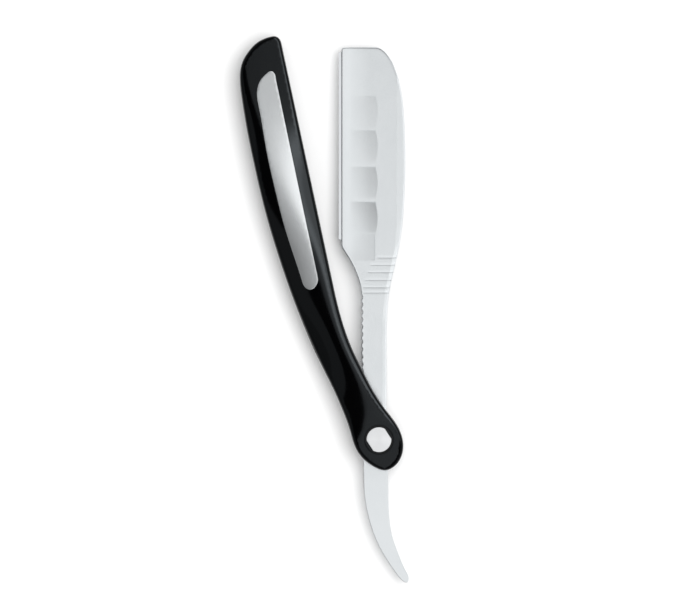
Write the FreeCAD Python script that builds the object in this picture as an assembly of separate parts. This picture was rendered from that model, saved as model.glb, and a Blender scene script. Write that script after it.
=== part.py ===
import FreeCAD, Part
import math
import os

from FreeCAD import Vector

# Folding barber razor with a replaceable strip blade, lying on its back scale.
# Millimetres. Origin on the pivot axis in the plane the razor lies on, +Z up, +Y along the blade holder
# towards the head. The handle is folded part-way towards the blade's edge, which faces -X.

# Levels through the thickness
HANDLE_T = 10.0
SCALE_T = 2.5
MID_Z = HANDLE_T / 2
SLOT_LOW = SCALE_T
SLOT_HIGH = HANDLE_T - SCALE_T
HOLDER_T = 3.0
HOLDER_LOW = MID_Z - HOLDER_T / 2
HOLDER_HIGH = MID_Z + HOLDER_T / 2
BLADE_T = 0.25
JAW_GAP = 0.30
SHANK_WALL = 1.0

# Extents of cutters that reach past the whole part
ABOVE = 4.0
ALL_X = (-60, 20)
ALL_Y = (-20, 130)
TOP = 20

# Handle outline: stations (y, outer edge x, inner edge x) up to where the inner edge turns straight
NECK_STATIONS = [(2.8, -8.7, 6.2), (8.8, -10.9, 2.1), (14.8, -13.5, -1.9), (20.8, -16.5, -5.0),
                 (26.8, -19.4, -7.9), (32.8, -22.0, -10.2), (44.8, -26.65, -13.4)]
INNER_SLOPE = -0.2141
OUTER_STATIONS = [(56.8, -30.7), (68.8, -34.2), (80.8, -37.05), (92.8, -39.55), (102.0, -41.05)]
TIP = [(-41.65, 108.0), (-41.1, 112.5), (-39.5, 115.6), (-36.0, 119.2), (-32.6, 120.6), (-30.8, 120.7),
       (-29.6, 119.7)]
TIP_CORNER_Y = 117.5
CAP = [(7.3, -1.9), (5.1, -7.6), (1.9, -9.2), (-1.2, -8.3), (-4.3, -6.15), (-6.75, -3.0)]
OUTLINE_PIECES = 6
RIM_R = 0.9

# Crown of the handle: a roll-off on the outer side and a slighter one on the inner side
ROLL_START_ENDS = -0.75
ROLL_START_MID = 0.60
OUTER_ROLL = 0.60
OUTER_ROLL_TIP = 2.0
INNER_ROLL = 1.0
NECK_BLEND = (0.0, 16.0)
BODY_BLEND = (45.0, 105.0)
TIP_BLEND = (60.0, 105.0)
CROWN_ROWS = 36
CROWN_COLUMNS = 17
CROWN_Y = (-16.0, 124.0)
CROWN_REACH = 1.4
CROWN_LIFT = 0.05

# Inlay plate, let into the front scale
INLAY_T = 0.55
INLAY_GAP = 0.10
INLAY_BASE = SLOT_HIGH + 0.5

# Pivot
POST_HEAD_R = 3.75
POST_HEAD_FLAT = 3.27
POST_HEAD_T = 1.1
POST_ANGLE = math.degrees(math.atan2(0.543, 0.839))
POST_R = 2.2
FIT = 0.05
SEAT_RIM = 0.40
BOSS_R = 6.0
WASHER_R = 5.2
WASHER_T = 0.35
SCREW_R = 1.25
SCREW_HEAD_R = 3.2
SCREW_HEAD_T = 1.3
PIVOT_SLOT_W = 0.9
SCREW_SLOT_DEPTH = 0.6
HEAD_RECESS = 0.1
HEAD_CLEARANCE = 0.2
POST_PROUD = 0.12
POST_CHAMFER = 0.15
BARREL_GAP = 0.35
BORE_INTO_HEAD = 0.5
BUSH_R = 2.9
EYE_R = 5.6

# Far end of the handle and the stop
SPACER_R = 118.8
END_SCREW_AT = (-34.5, 116.3)
END_SCREW_R = 1.0
END_HEAD_R = 1.9
END_HEAD_T = 1.1
END_SLOT_W = 0.6
END_SCREW_GAP = 0.3
INSERT_R = 1.7
INSERT_DEPTH = 1.6
STOP_AT = (-22.2, 49.2)
STOP_R = 1.6
STOP_DEPTH = 1.0
STOP_CHAMFER = 0.2

# Blade holder
HEAD_LEFT = -11.3
HEAD_TOP = 117.6
HEAD_CORNER_R = 0.9
HEAD_BASE_Y = 58.5
SHANK_LEFT = -5.25
SHANK_RIGHT = 2.3
EDGE_R = 0.45
SEAM_R = 7.35
SEAM_GAP = 0.15
TAIL_TIP_T = 1.5
TAIL_TAPER_Y = (-12, -44)
SPINE_BEVEL_X = 5.4
SPINE_BEVEL_SLOPE = 0.28
EDGE_SLOPE_X = -8.6
EDGE_SLOPE = 0.20
SPINE_BEVEL_Y = 57.0
EDGE_SLOPE_Y = 52.0
SLOPE_RUN = 6

# Scooped pockets: (top wall y, depth at the deepest corner)
POCKETS = [(103.0, 0.30), (92.7, 0.50), (81.8, 0.65), (71.3, 0.95)]
POCKET_LEFT = -8.7
POCKET_RIGHT = -1.0
POCKET_BULGE = 0.64
POCKET_LENGTH = 9.5
POCKET_SKIM = 0.02
LAST_POCKET = (-7.6, -1.14, 53.7, 61.6)
LAST_POCKET_DEPTH = 0.50

# Thumb grooves: (y, left end x), and the serrations on the shank's edge
GROOVES = [(54.5, -0.4), (52.3, -2.5), (50.1, -3.3), (47.8, -4.1), (45.6, -4.7), (44.0, -4.7)]
GROOVE_W = 0.55
GROOVE_DEPTH = 0.22
SERRATION_PITCH = 2.24
SERRATION_TOP_Y = 43.8
SERRATION_COUNT = 14
SERRATION_R = 0.75
SERRATION_DEPTH = 0.33

# Jaw hinge, spring and blade
PIN_Y = 48.0
PIN_R = 0.5
PIN_FIT = 0.05
LUG_X = (-3.3, 1.4)
LUG_HALF = 1.6
EAR_TOP = MID_Z + 0.8
EAR_FLOOR = 0.5
EAR_GAP = 0.2
LUG_SINK = 0.3
BODY_STEP = 2.0
JAW_STEP = 1.6
BODY_HINGE_ROOM = 3.0
JAW_HINGE_ROOM = 2.3
PIN_LEFT = -5.7
PIN_LENGTH = 9.2
SPRING_T = 0.25
SPRING_X = (-3.6, 0.7)
SPRING_Y = (14.0, 37.0)
SPRING_RISE = 0.62
SPRING_FLAT_Y = 30.5
RIVET_AT = ((SPRING_X[0] + SPRING_X[1]) / 2, 33.5)
RIVET_R = 0.7
RIVET_HEAD = (0.5, 0.3)
SPRING_MID = (22.0, 0.42)
BLADE_X = (-12.05, -5.55)
BLADE_Y = (60.0, 116.2)
BLADE_EDGE_W = 0.8
BLADE_TIP_HALF = 0.01
PEG_X = -6.9
PEG_R = 0.9
PEG_FLOOR = 0.4
PEG_YS = {"upper_peg": 103.0, "lower_peg": 78.0}
NOTCH_HALF = 1.0


def point(x, y, z=0.0):
    return Vector(x, y, z)


def line(a, b):
    return Part.makeLine(point(*a), point(*b))


def spline(points, start, end, pieces=1):
    """Smooth edges through the points, with unit end tangents; one curve cut into equal pieces."""
    curve = Part.BSplineCurve()
    curve.interpolate(Points=[point(*p) for p in points], InitialTangent=point(*start).normalize(),
                      FinalTangent=point(*end).normalize(), Scale=False)
    first, last = curve.FirstParameter, curve.LastParameter
    cuts = [first + (last - first) * index / pieces for index in range(pieces + 1)]
    return [curve.toShape(a, b) for a, b in zip(cuts, cuts[1:])]


def prism(edges, low, high):
    """Solid over the closed outline between two heights."""
    wire = Part.Wire(Part.__sortEdges__(edges))
    face = Part.Face(wire)
    face.translate(point(0, 0, low))
    return face.extrude(point(0, 0, high - low))


def box(x, y, z):
    """Box between the low and high values given for each axis."""
    return Part.makeBox(x[1] - x[0], y[1] - y[0], z[1] - z[0], point(x[0], y[0], z[0]))


def disc(r, low, high, at=(0.0, 0.0)):
    return Part.makeCylinder(r, high - low, point(at[0], at[1], low))


def smooth(value, span):
    """Eased step from 0 to 1 over the span."""
    t = (value - span[0]) / (span[1] - span[0])
    t = min(1.0, max(0.0, t))
    return t * t * (3 - 2 * t)


def edges_at(shape, z, above_y=-1000.0):
    """Edges that lie wholly at height z and reach past above_y."""
    found = []
    for edge in shape.Edges:
        bounds = edge.BoundBox
        if abs(bounds.ZMin - z) < 1e-4 and abs(bounds.ZMax - z) < 1e-4 and bounds.YMax > above_y:
            found.append(edge)
    return found


# ---------------------------------------------------------------- handle

def inner_x(y):
    """The straight part of the handle's inner edge."""
    y0, _, x0 = NECK_STATIONS[-1]
    return x0 + INNER_SLOPE * (y - y0)


def handle_outline():
    """Closed outline of the handle: straight inner edge, round cap at the pivot, bowed outer edge and tip."""
    straight = (-INNER_SLOPE, -1.0)
    tip_corner = (inner_x(TIP_CORNER_Y), TIP_CORNER_Y)
    neck_in = [(x, y) for y, _, x in reversed(NECK_STATIONS)]
    neck_out = [(x, y) for y, x, _ in NECK_STATIONS]
    outer = neck_out + [(x, y) for y, x in OUTER_STATIONS]
    bowed = spline(neck_in + CAP + outer + TIP + [tip_corner], straight, straight, OUTLINE_PIECES)
    return [line(tip_corner, neck_in[0])] + bowed


def width_at(y):
    """Outer and inner edge of the handle at height y along it."""
    rows = [(y_, a, b) for y_, a, b in NECK_STATIONS]
    rows += [(y_, a, inner_x(y_)) for y_, a in OUTER_STATIONS]
    rows += [(120.0, -42.3, inner_x(120.0))]
    curve = Part.BSplineCurve()
    curve.interpolate(Points=[Vector(a, y_, b) for y_, a, b in rows], Parameters=[r[0] for r in rows])
    here = curve.value(min(120.0, max(2.8, y)))
    return here.x, here.z


def crown_drop(u, y):
    """How far the outer surface lies below the top level; u is -1 at the outer edge and 1 at the inner."""
    along = smooth(y, NECK_BLEND) * (1 - smooth(y, BODY_BLEND))
    start = ROLL_START_ENDS + (ROLL_START_MID - ROLL_START_ENDS) * along
    outer = OUTER_ROLL + (OUTER_ROLL_TIP - OUTER_ROLL) * smooth(y, TIP_BLEND)
    inner = INNER_ROLL * along
    return outer * max(0.0, start - u) ** 2 + inner * max(0.0, u - start) ** 2


def crown_face(drop=0.0):
    """Outer surface of the front scale, lowered by drop."""
    rows = []
    for row in range(CROWN_ROWS):
        y = CROWN_Y[0] + (CROWN_Y[1] - CROWN_Y[0]) * row / (CROWN_ROWS - 1)
        left, right = width_at(y)
        middle, half = (left + right) / 2, (right - left) / 2
        columns = []
        for column in range(CROWN_COLUMNS):
            u = CROWN_REACH * (2 * column / (CROWN_COLUMNS - 1) - 1)
            height = HANDLE_T + CROWN_LIFT - drop - crown_drop(u, y)
            columns.append(Vector(middle + u * half, y, height))
        rows.append(columns)
    surface = Part.BSplineSurface()
    surface.interpolate(rows)
    return surface.toShape()


def above_crown(drop=0.0, height=ABOVE):
    """Solid that stands on the crown surface, lowered by drop."""
    return crown_face(drop).extrude(point(0, 0, height))


def double_d(r, flat, low, high):
    """Disc with two parallel flats, turned to the angle of the pivot head."""
    body = disc(r, low, high)
    for side in (-1, 1):
        flat_cut = box((flat, 2 * r), (-2 * r, 2 * r), (low - 1, high + 1))
        if side < 0:
            flat_cut.rotate(point(0, 0), point(0, 0, 1), 180)
        body = body.cut(flat_cut)
    body.rotate(point(0, 0), point(0, 0, 1), POST_ANGLE)
    return body


def plain_scale():
    """Front scale without its inlay recess and pivot seat; the back scale is its mirror image."""
    scale = prism(handle_outline(), SLOT_HIGH, HANDLE_T + 1.0).cut(above_crown())
    rim = []
    for edge in scale.Edges:
        low = edge.BoundBox.ZMin
        if low > SLOT_HIGH + 0.1 and abs(edge.BoundBox.ZMax - low) < 3.0 and not is_upright(edge):
            rim.append(edge)
    scale = scale.makeFillet(RIM_R, rim)
    scale = scale.cut(box(ALL_X, ALL_Y, (HANDLE_T, HANDLE_T + ABOVE)))
    boss = disc(BOSS_R, HOLDER_HIGH + FIT + WASHER_T, SLOT_HIGH)
    scale = scale.fuse(boss).removeSplitter()
    scale = scale.cut(disc(POST_R + FIT, 0, HANDLE_T + 1))
    stop_hole = disc(STOP_R, SLOT_HIGH - 1, SLOT_HIGH + STOP_DEPTH, STOP_AT)
    return scale.cut(stop_hole)


def is_upright(edge):
    """True for an edge that runs along Z."""
    bounds = edge.BoundBox
    return bounds.XLength < 0.05 and bounds.YLength < 0.05


def inlay_outline(grow=0.0):
    """Long leaf shape: straight inner side, bowed outer side, pointed top and round lower end."""
    slope = (0.2116, -1.0)
    top_right = (-30.75 + grow, 107.6)
    low_right = (-18.3 + grow, 48.75)
    top_left = (-36.5 - grow, 104.3)
    low_left = (-23.1 - grow, 47.6)
    low_end = [(-18.75, 46.1 - grow), (-20.6, 44.85 - grow), (-22.3 - grow, 45.8 - grow)]
    bowed = [(-28.0 - grow, 62.8), (-31.1 - grow, 74.8), (-33.75 - grow, 86.8), (-35.85 - grow, 98.8)]
    top_end = [(-35.5 - grow, 107.5), (-33.7, 109.5 + grow), (-32.2, 110.3 + grow), (-31.1 + grow, 109.4)]
    around = [low_right] + low_end + [low_left] + bowed + [top_left] + top_end + [top_right]
    return [line(top_right, low_right)] + spline(around, slope, slope, OUTLINE_PIECES)


def front_scale():
    scale = plain_scale()
    recess = prism(inlay_outline(INLAY_GAP), INLAY_BASE, HANDLE_T + 1)
    recess = recess.common(above_crown(INLAY_T))
    scale = scale.cut(recess)
    seat = double_d(POST_HEAD_R + FIT, POST_HEAD_FLAT + FIT, HANDLE_T - POST_HEAD_T, HANDLE_T + 1)
    scale = scale.cut(seat)
    rim = Part.makeCone(POST_HEAD_R + FIT, POST_HEAD_R + FIT + 2 * SEAT_RIM, 2 * SEAT_RIM,
                        point(0, 0, HANDLE_T - SEAT_RIM))
    scale = scale.cut(rim)
    insert_hole = disc(INSERT_R, SLOT_HIGH - 1, SLOT_HIGH + INSERT_DEPTH, END_SCREW_AT)
    return scale.cut(insert_hole)


def back_scale():
    scale = plain_scale().mirror(point(0, 0, MID_Z), point(0, 0, 1))
    scale = scale.cut(disc(SCREW_HEAD_R + HEAD_CLEARANCE, -1, SCREW_HEAD_T + HEAD_RECESS))
    scale = scale.cut(disc(END_HEAD_R + HEAD_CLEARANCE, -1, END_HEAD_T + HEAD_RECESS, END_SCREW_AT))
    return scale.cut(disc(END_SCREW_R + FIT, -1, SLOT_LOW + 1, END_SCREW_AT))


def inlay_plate():
    plate = prism(inlay_outline(), INLAY_BASE, HANDLE_T + 1)
    return plate.common(above_crown(INLAY_T, INLAY_T))


def end_spacer():
    """Block between the scales beyond the reach of the head."""
    spacer = prism(handle_outline(), SLOT_LOW, SLOT_HIGH)
    spacer = spacer.cut(disc(SPACER_R, SLOT_LOW - 1, SLOT_HIGH + 1))
    return spacer.cut(disc(END_SCREW_R + FIT, SLOT_LOW - 1, SLOT_HIGH + 1, END_SCREW_AT))


def screw(shank_r, head_r, head_t, top, at, slot_w):
    """Slotted flat-head screw that enters from below, with its head a little below the face."""
    head = disc(head_r, HEAD_RECESS, HEAD_RECESS + head_t, at)
    body = head.fuse(disc(shank_r, HEAD_RECESS, top, at)).removeSplitter()
    half = slot_w / 2
    slot = box((at[0] - head_r, at[0] + head_r), (at[1] - half, at[1] + half), (0, SCREW_SLOT_DEPTH))
    return body.cut(slot)


def end_screw():
    top = SLOT_HIGH + INSERT_DEPTH - END_SCREW_GAP
    return screw(END_SCREW_R, END_HEAD_R, END_HEAD_T, top, END_SCREW_AT, END_SLOT_W)


def end_insert():
    """Knurled threaded insert, with a bore that the screw fills."""
    body = disc(INSERT_R, SLOT_HIGH, SLOT_HIGH + INSERT_DEPTH, END_SCREW_AT)
    return body.cut(disc(END_SCREW_R, SLOT_HIGH - 1, SLOT_HIGH + INSERT_DEPTH + 1, END_SCREW_AT))


def stop_post():
    post = disc(STOP_R, SLOT_LOW - STOP_DEPTH, SLOT_HIGH + STOP_DEPTH, STOP_AT)
    ends = [e for e in post.Edges if e.BoundBox.ZLength < 0.01]
    return post.makeChamfer(STOP_CHAMFER, ends)


def pivot_post():
    """Double-D head let into the front scale, with a threaded barrel that passes through the eye."""
    top = HANDLE_T + POST_PROUD
    head = double_d(POST_HEAD_R, POST_HEAD_FLAT, HANDLE_T - POST_HEAD_T, top)
    head = head.makeChamfer(POST_CHAMFER, edges_at(head, top))
    barrel = disc(POST_R, SCREW_HEAD_T + BARREL_GAP, HANDLE_T - POST_HEAD_T)
    post = head.fuse(barrel).removeSplitter()
    return post.cut(disc(SCREW_R, 0, SLOT_HIGH + BORE_INTO_HEAD))


def pivot_screw():
    return screw(SCREW_R, SCREW_HEAD_R, SCREW_HEAD_T, SLOT_HIGH, (0.0, 0.0), PIVOT_SLOT_W)


def washer(low):
    return disc(WASHER_R, low, low + WASHER_T).cut(disc(POST_R + FIT, low - 1, low + 1))


# ---------------------------------------------------------------- blade holder

def right_edge():
    """Spine side of the head, down into the shank."""
    return spline([(-1.0, HEAD_TOP), (2.33, 115.65), (5.0, 110.8), (6.65, 104.8), (7.65, 94.8), (7.93, 84.0),
                   (7.62, 71.8), (6.43, 59.8), (4.48, 50.8), (3.2, 44.8), (2.55, 38.8), (SHANK_RIGHT, 30.0)],
                  (1, 0), (0, -1), 3)


def left_edge():
    """Blade side of the neck, from the head's base into the shank."""
    return spline([(HEAD_LEFT, HEAD_BASE_Y), (-10.6, 56.7), (-8.75, 53.8), (-6.1, 47.8), (SHANK_LEFT, 43.0)],
                  (0, -1), (0, -1))


def head_outline(low_y):
    """Closed outline of the head and shank, cut off square at low_y."""
    corner = Part.Arc(point(HEAD_LEFT, HEAD_TOP - HEAD_CORNER_R),
                      point(HEAD_LEFT + 0.293 * HEAD_CORNER_R, HEAD_TOP - 0.293 * HEAD_CORNER_R),
                      point(HEAD_LEFT + HEAD_CORNER_R, HEAD_TOP)).toShape()
    return [
        line((HEAD_LEFT, HEAD_BASE_Y), (HEAD_LEFT, HEAD_TOP - HEAD_CORNER_R)),
        corner,
        line((HEAD_LEFT + HEAD_CORNER_R, HEAD_TOP), (-1.0, HEAD_TOP)),
        line((SHANK_RIGHT, 30.0), (SHANK_RIGHT, low_y)),
        line((SHANK_RIGHT, low_y), (SHANK_LEFT, low_y)),
        line((SHANK_LEFT, low_y), (SHANK_LEFT, 43.0)),
    ] + right_edge() + left_edge()


def tail_outline():
    """The shank past the pivot, swept into a thin curved tail."""
    around = [(SHANK_LEFT, 10.0), (-4.6, -8.0), (-4.3, -17.0), (-2.6, -25.3), (0.6, -33.2), (5.13, -40.2),
              (7.2, -42.5), (8.5, -42.95), (9.0, -41.9), (8.3, -39.9), (6.1, -35.0), (4.15, -29.6),
              (2.95, -21.5), (2.75, -10.0), (SHANK_RIGHT, 10.0)]
    return [line((SHANK_RIGHT, 10.0), (SHANK_LEFT, 10.0))] + spline(around, (0, -1), (0, 1), 4)


def serrations():
    """Cylinders that cut the serrated edge of the shank."""
    cuts = []
    for index in range(SERRATION_COUNT):
        y = SERRATION_TOP_Y - 0.5 * SERRATION_PITCH - index * SERRATION_PITCH
        at = (SHANK_LEFT - SERRATION_R + SERRATION_DEPTH, y)
        cuts.append(disc(SERRATION_R, HOLDER_LOW - 1, HOLDER_HIGH + 1, at))
    return cuts


def long_prism(profile, y):
    """Solid with an outline in X and Z, extruded along Y."""
    wire = Part.makePolygon([Vector(x, y[0], z) for x, z in profile + profile[:1]])
    return Part.Face(wire).extrude(Vector(0, y[1] - y[0], 0))


def side_slopes(front):
    """Cutters for the bevelled spine and the slope towards the blade, on the front or the back face."""
    face, out = (HOLDER_HIGH, 1) if front else (HOLDER_LOW, -1)
    cutters = []
    for x, run, slope, low_y in ((SPINE_BEVEL_X, SLOPE_RUN, SPINE_BEVEL_SLOPE, SPINE_BEVEL_Y),
                                 (EDGE_SLOPE_X, -SLOPE_RUN, EDGE_SLOPE, EDGE_SLOPE_Y)):
        fall = out * SLOPE_RUN * slope
        profile = [(x, face), (x + run, face - fall), (x + run, face + out), (x, face + out)]
        cutters.append(long_prism(profile, (low_y, HEAD_TOP + 1)))
    return cutters


def across_bore(r):
    """Cutter for a bore along X at the hinge pin."""
    return Part.makeCylinder(r, ALL_X[1] - ALL_X[0], Vector(ALL_X[0], PIN_Y, MID_Z), Vector(1, 0, 0))


def holder_body():
    """Back jaw, shank floor, full-thickness eye and tail in one piece."""
    plate = prism(head_outline(4.0), HOLDER_LOW, HOLDER_HIGH)
    plate = plate.makeFillet(EDGE_R, edges_at(plate, HOLDER_LOW, 5.0))
    lug_low, lug_high = PIN_Y - LUG_HALF, PIN_Y + LUG_HALF
    room = (lug_low - BODY_HINGE_ROOM, lug_high + BODY_HINGE_ROOM)
    jaw_space = box(ALL_X, (lug_high + BODY_STEP, ALL_Y[1]), (MID_Z - JAW_GAP / 2, TOP))
    shank_space = box(ALL_X, (-1, lug_low - BODY_STEP), (HOLDER_LOW + SHANK_WALL, TOP))
    ear_space = box(ALL_X, room, (EAR_TOP, TOP))
    middle = box((LUG_X[0] - EAR_GAP, LUG_X[1] + EAR_GAP), room, (HOLDER_LOW + EAR_FLOOR, TOP))
    for space in (jaw_space, shank_space, ear_space, middle):
        plate = plate.cut(space)
    eye = disc(EYE_R, HOLDER_LOW, HOLDER_HIGH)
    body = plate.fuse([tail(), eye]).removeSplitter()
    for cutter in side_slopes(front=False) + serrations():
        body = body.cut(cutter)
    body = body.cut(disc(BUSH_R, 0, TOP)).cut(across_bore(PIN_R))
    for y in PEG_YS.values():
        body = body.cut(disc(PEG_R, HOLDER_LOW + PEG_FLOOR, TOP, (PEG_X, y)))
    return body.cut(disc(RIVET_R, 0, TOP, RIVET_AT))


def tail():
    """Tail, thinning towards its tip, and the full-thickness part of the shank around the eye."""
    body = prism(tail_outline(), HOLDER_LOW, HOLDER_HIGH)
    fall = (HOLDER_T - TAIL_TIP_T) / 2
    x, (start, tip) = ALL_X[0], TAIL_TAPER_Y
    for face, out in ((HOLDER_HIGH, 1), (HOLDER_LOW, -1)):
        wire = Part.makePolygon([Vector(x, start, face), Vector(x, tip, face - out * fall),
                                 Vector(x, tip, face + out * fall), Vector(x, start, face + out * fall),
                                 Vector(x, start, face)])
        body = body.cut(Part.Face(wire).extrude(Vector(ALL_X[1] - x, 0, 0)))
    lever_room = box(ALL_X, (0, 2 * SEAM_R), (HOLDER_LOW + SHANK_WALL, TOP)).cut(disc(SEAM_R, 0, TOP))
    return body.cut(lever_room)


def scoop(top_y, depth):
    """Cutter for one pocket: a twisted floor, level with the face at the left and bottom."""
    low_y = top_y - POCKET_LENGTH
    skim = HOLDER_HIGH + POCKET_SKIM
    reach = POCKET_RIGHT + POCKET_BULGE
    deep = depth * (reach - POCKET_LEFT) / (POCKET_RIGHT - POCKET_LEFT)
    upper = Part.makeLine(point(POCKET_LEFT, top_y, skim), point(reach, top_y, skim - deep))
    lower = Part.makeLine(point(POCKET_LEFT, low_y, skim), point(reach, low_y, skim))
    floor = Part.makeRuledSurface(lower, upper)
    block = floor.extrude(point(0, 0, ABOVE))
    wall = Part.Arc(point(POCKET_RIGHT, top_y), point(reach, (top_y + low_y) / 2),
                    point(POCKET_RIGHT, low_y)).toShape()
    plan = prism([line((POCKET_LEFT, top_y), (POCKET_RIGHT, top_y)), wall,
                  line((POCKET_RIGHT, low_y), (POCKET_LEFT, low_y)),
                  line((POCKET_LEFT, low_y), (POCKET_LEFT, top_y))], MID_Z, TOP)
    return block.common(plan)


def last_pocket():
    """Plain pocket next to the neck, sloping down towards the spine."""
    x0, x1, y0, y1 = LAST_POCKET
    floor = HOLDER_HIGH - LAST_POCKET_DEPTH
    return long_prism([(x0, HOLDER_HIGH), (x1, floor), (x1, TOP), (x0, TOP)], (y0, y1))


def groove(y, left):
    """V cut across the face, from its left end out past the spine."""
    half = GROOVE_W / 2
    wire = Part.makePolygon([Vector(left, y - half, HOLDER_HIGH), Vector(left, y, HOLDER_HIGH - GROOVE_DEPTH),
                             Vector(left, y + half, HOLDER_HIGH), Vector(left, y + half, HOLDER_HIGH + 1),
                             Vector(left, y - half, HOLDER_HIGH + 1), Vector(left, y - half, HOLDER_HIGH)])
    return Part.Face(wire).extrude(Vector(ALL_X[1], 0, 0))


def clamp_jaw():
    """Front jaw with its pockets and grooves, hinge lug, and the lever over the shank."""
    plate = prism(head_outline(4.0), HOLDER_LOW, HOLDER_HIGH)
    plate = plate.makeFillet(EDGE_R, edges_at(plate, HOLDER_HIGH, 5.0))
    lug_low, lug_high = PIN_Y - LUG_HALF, PIN_Y + LUG_HALF
    jaw_space = box(ALL_X, (lug_high + JAW_STEP, ALL_Y[1]), (0, MID_Z + JAW_GAP / 2))
    lever_space = box(ALL_X, (-1, lug_low - JAW_STEP), (0, HOLDER_HIGH - SHANK_WALL))
    hinge_space = box(ALL_X, (lug_low - JAW_HINGE_ROOM, lug_high + JAW_HINGE_ROOM), (0, EAR_TOP + EAR_GAP))
    jaw = plate.cut(jaw_space).cut(lever_space).cut(hinge_space)
    lug = box(LUG_X, (lug_low, lug_high), (2 * MID_Z - EAR_TOP, HOLDER_HIGH - LUG_SINK))
    jaw = jaw.fuse(lug).removeSplitter()
    jaw = jaw.cut(across_bore(PIN_R + PIN_FIT))
    for cutter in side_slopes(front=True) + serrations():
        jaw = jaw.cut(cutter)
    jaw = jaw.cut(disc(SEAM_R + SEAM_GAP, 0, TOP))
    for top_y, depth in POCKETS:
        jaw = jaw.cut(scoop(top_y, depth))
    jaw = jaw.cut(last_pocket())
    for y, left in GROOVES:
        jaw = jaw.cut(groove(y, left))
    return jaw


def eye_bush():
    return disc(BUSH_R, HOLDER_LOW, HOLDER_HIGH).cut(disc(POST_R + FIT, 0, TOP))


def jaw_hinge_pin():
    return Part.makeCylinder(PIN_R, PIN_LENGTH, Vector(PIN_LEFT, PIN_Y, MID_Z), Vector(1, 0, 0))


def leaf_spring():
    """Strip fixed to the shank floor at one end, bowed up to press on the lever at the other."""
    floor = HOLDER_LOW + SHANK_WALL
    y_low, y_high = SPRING_Y
    flat_y = SPRING_FLAT_Y
    x = SPRING_X[0]
    mid_y, mid_rise = SPRING_MID
    rises = [(flat_y, 0.0), (mid_y, mid_rise), (y_low, SPRING_RISE)]
    lower = spline_in_side(rises, floor, x)
    upper = spline_in_side(rises, floor + SPRING_T, x)
    a, b = Vector(x, y_high, floor), Vector(x, y_high, floor + SPRING_T)
    tip = floor + SPRING_RISE
    edges = [lower, upper, Part.makeLine(a, b), Part.makeLine(a, Vector(x, flat_y, floor)),
             Part.makeLine(b, Vector(x, flat_y, floor + SPRING_T)),
             Part.makeLine(Vector(x, y_low, tip), Vector(x, y_low, tip + SPRING_T))]
    profile = Part.Face(Part.Wire(Part.__sortEdges__(edges)))
    strip = profile.extrude(Vector(SPRING_X[1] - x, 0, 0))
    return strip.cut(disc(RIVET_R, 0, TOP, RIVET_AT))


def spline_in_side(points, floor, x):
    """Smooth edge through (y, height above the floor) points, starting level."""
    curve = Part.BSplineCurve()
    curve.interpolate(Points=[Vector(x, y, floor + z) for y, z in points], InitialTangent=Vector(0, -1, 0),
                      FinalTangent=Vector(0, -1, 0))
    return curve.toShape()


def spring_rivet():
    seat = HOLDER_LOW + SHANK_WALL + SPRING_T
    wider, thick = RIVET_HEAD
    shank = disc(RIVET_R, HOLDER_LOW, seat, RIVET_AT)
    head = disc(RIVET_R + wider, seat, seat + thick, RIVET_AT)
    return shank.fuse(head).removeSplitter()


def peg(y):
    """Peg pressed into the back jaw; its top stands in an open notch of the blade."""
    return disc(PEG_R, HOLDER_LOW + PEG_FLOOR, MID_Z + BLADE_T / 2, (PEG_X, y))


def blade():
    """Strip blade with a ground edge and two notches that open at its back."""
    low, high = MID_Z - BLADE_T / 2, MID_Z + BLADE_T / 2
    edge_x, back_x = BLADE_X
    ground_x = edge_x + BLADE_EDGE_W
    strip = long_prism([(back_x, low), (back_x, high), (ground_x, high), (edge_x, MID_Z + BLADE_TIP_HALF),
                        (edge_x, MID_Z - BLADE_TIP_HALF), (ground_x, low)], BLADE_Y)
    for y in PEG_YS.values():
        strip = strip.cut(disc(NOTCH_HALF, 0, TOP, (PEG_X, y)))
        strip = strip.cut(box((PEG_X, 0), (y - NOTCH_HALF, y + NOTCH_HALF), (0, TOP)))
    return strip


def build():
    nodes = {
        "front_scale": front_scale(),
        "back_scale": back_scale(),
        "inlay_plate": inlay_plate(),
        "end_spacer": end_spacer(),
        "end_screw": end_screw(),
        "end_insert": end_insert(),
        "stop_post": stop_post(),
        "pivot_post": pivot_post(),
        "pivot_screw": pivot_screw(),
        "front_washer": washer(HOLDER_HIGH + FIT),
        "back_washer": washer(HOLDER_LOW - FIT - WASHER_T),
        "holder_body": holder_body(),
        "eye_bush": eye_bush(),
        "jaw_hinge_pin": jaw_hinge_pin(),
        "clamp_jaw": clamp_jaw(),
        "leaf_spring": leaf_spring(),
        "spring_rivet": spring_rivet(),
        "blade": blade(),
    }
    for name, y in PEG_YS.items():
        nodes[name] = peg(y)
    return nodes


def main():
    os.makedirs("parts", exist_ok=True)
    for name, shape in build().items():
        shape.exportStep(f"parts/{name}.step")


main()
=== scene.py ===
import math

import bmesh
import bpy
import numpy as np
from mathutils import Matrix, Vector
from mathutils.geometry import delaunay_2d_cdt

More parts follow.
